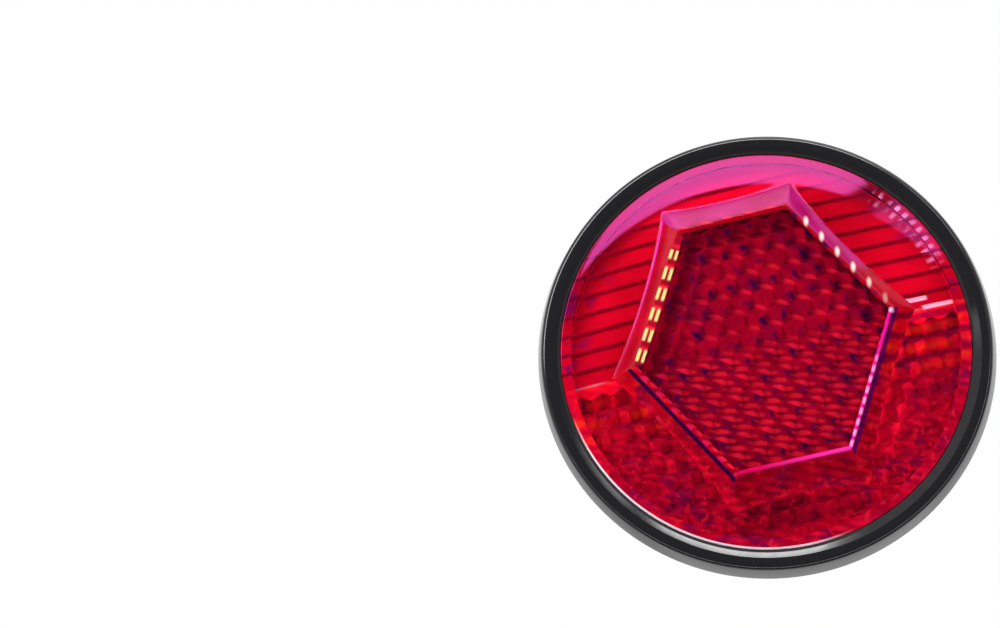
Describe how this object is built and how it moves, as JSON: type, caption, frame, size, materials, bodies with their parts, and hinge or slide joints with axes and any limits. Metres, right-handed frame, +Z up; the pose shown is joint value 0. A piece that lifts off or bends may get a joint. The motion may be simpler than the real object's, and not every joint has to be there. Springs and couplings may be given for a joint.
{
  "type": "round rear reflector",
  "caption": "Round red prism reflector with a raised hexagon, in a black housing with a mounting stud on its back.",
  "frame": {"origin": "middle of the seat on the housing's back boss, on the stud's axis", "axes": "+Y back along the stud, so the lens faces -Y; +Z up, across the level edges of the hexagon; +X to the right as seen from the front"},
  "size_m": [0.0812, 0.0307, 0.0812],
  "materials": {
    "black_plastic": "gloss",
    "red_lens": "clear red gloss",
    "zinc_steel": "zinc plated"
  },
  "bodies": {
    "root": {"housing": "black_plastic", "lens": "red_lens", "stud": "zinc_steel"}
  },
  "joints": []
}
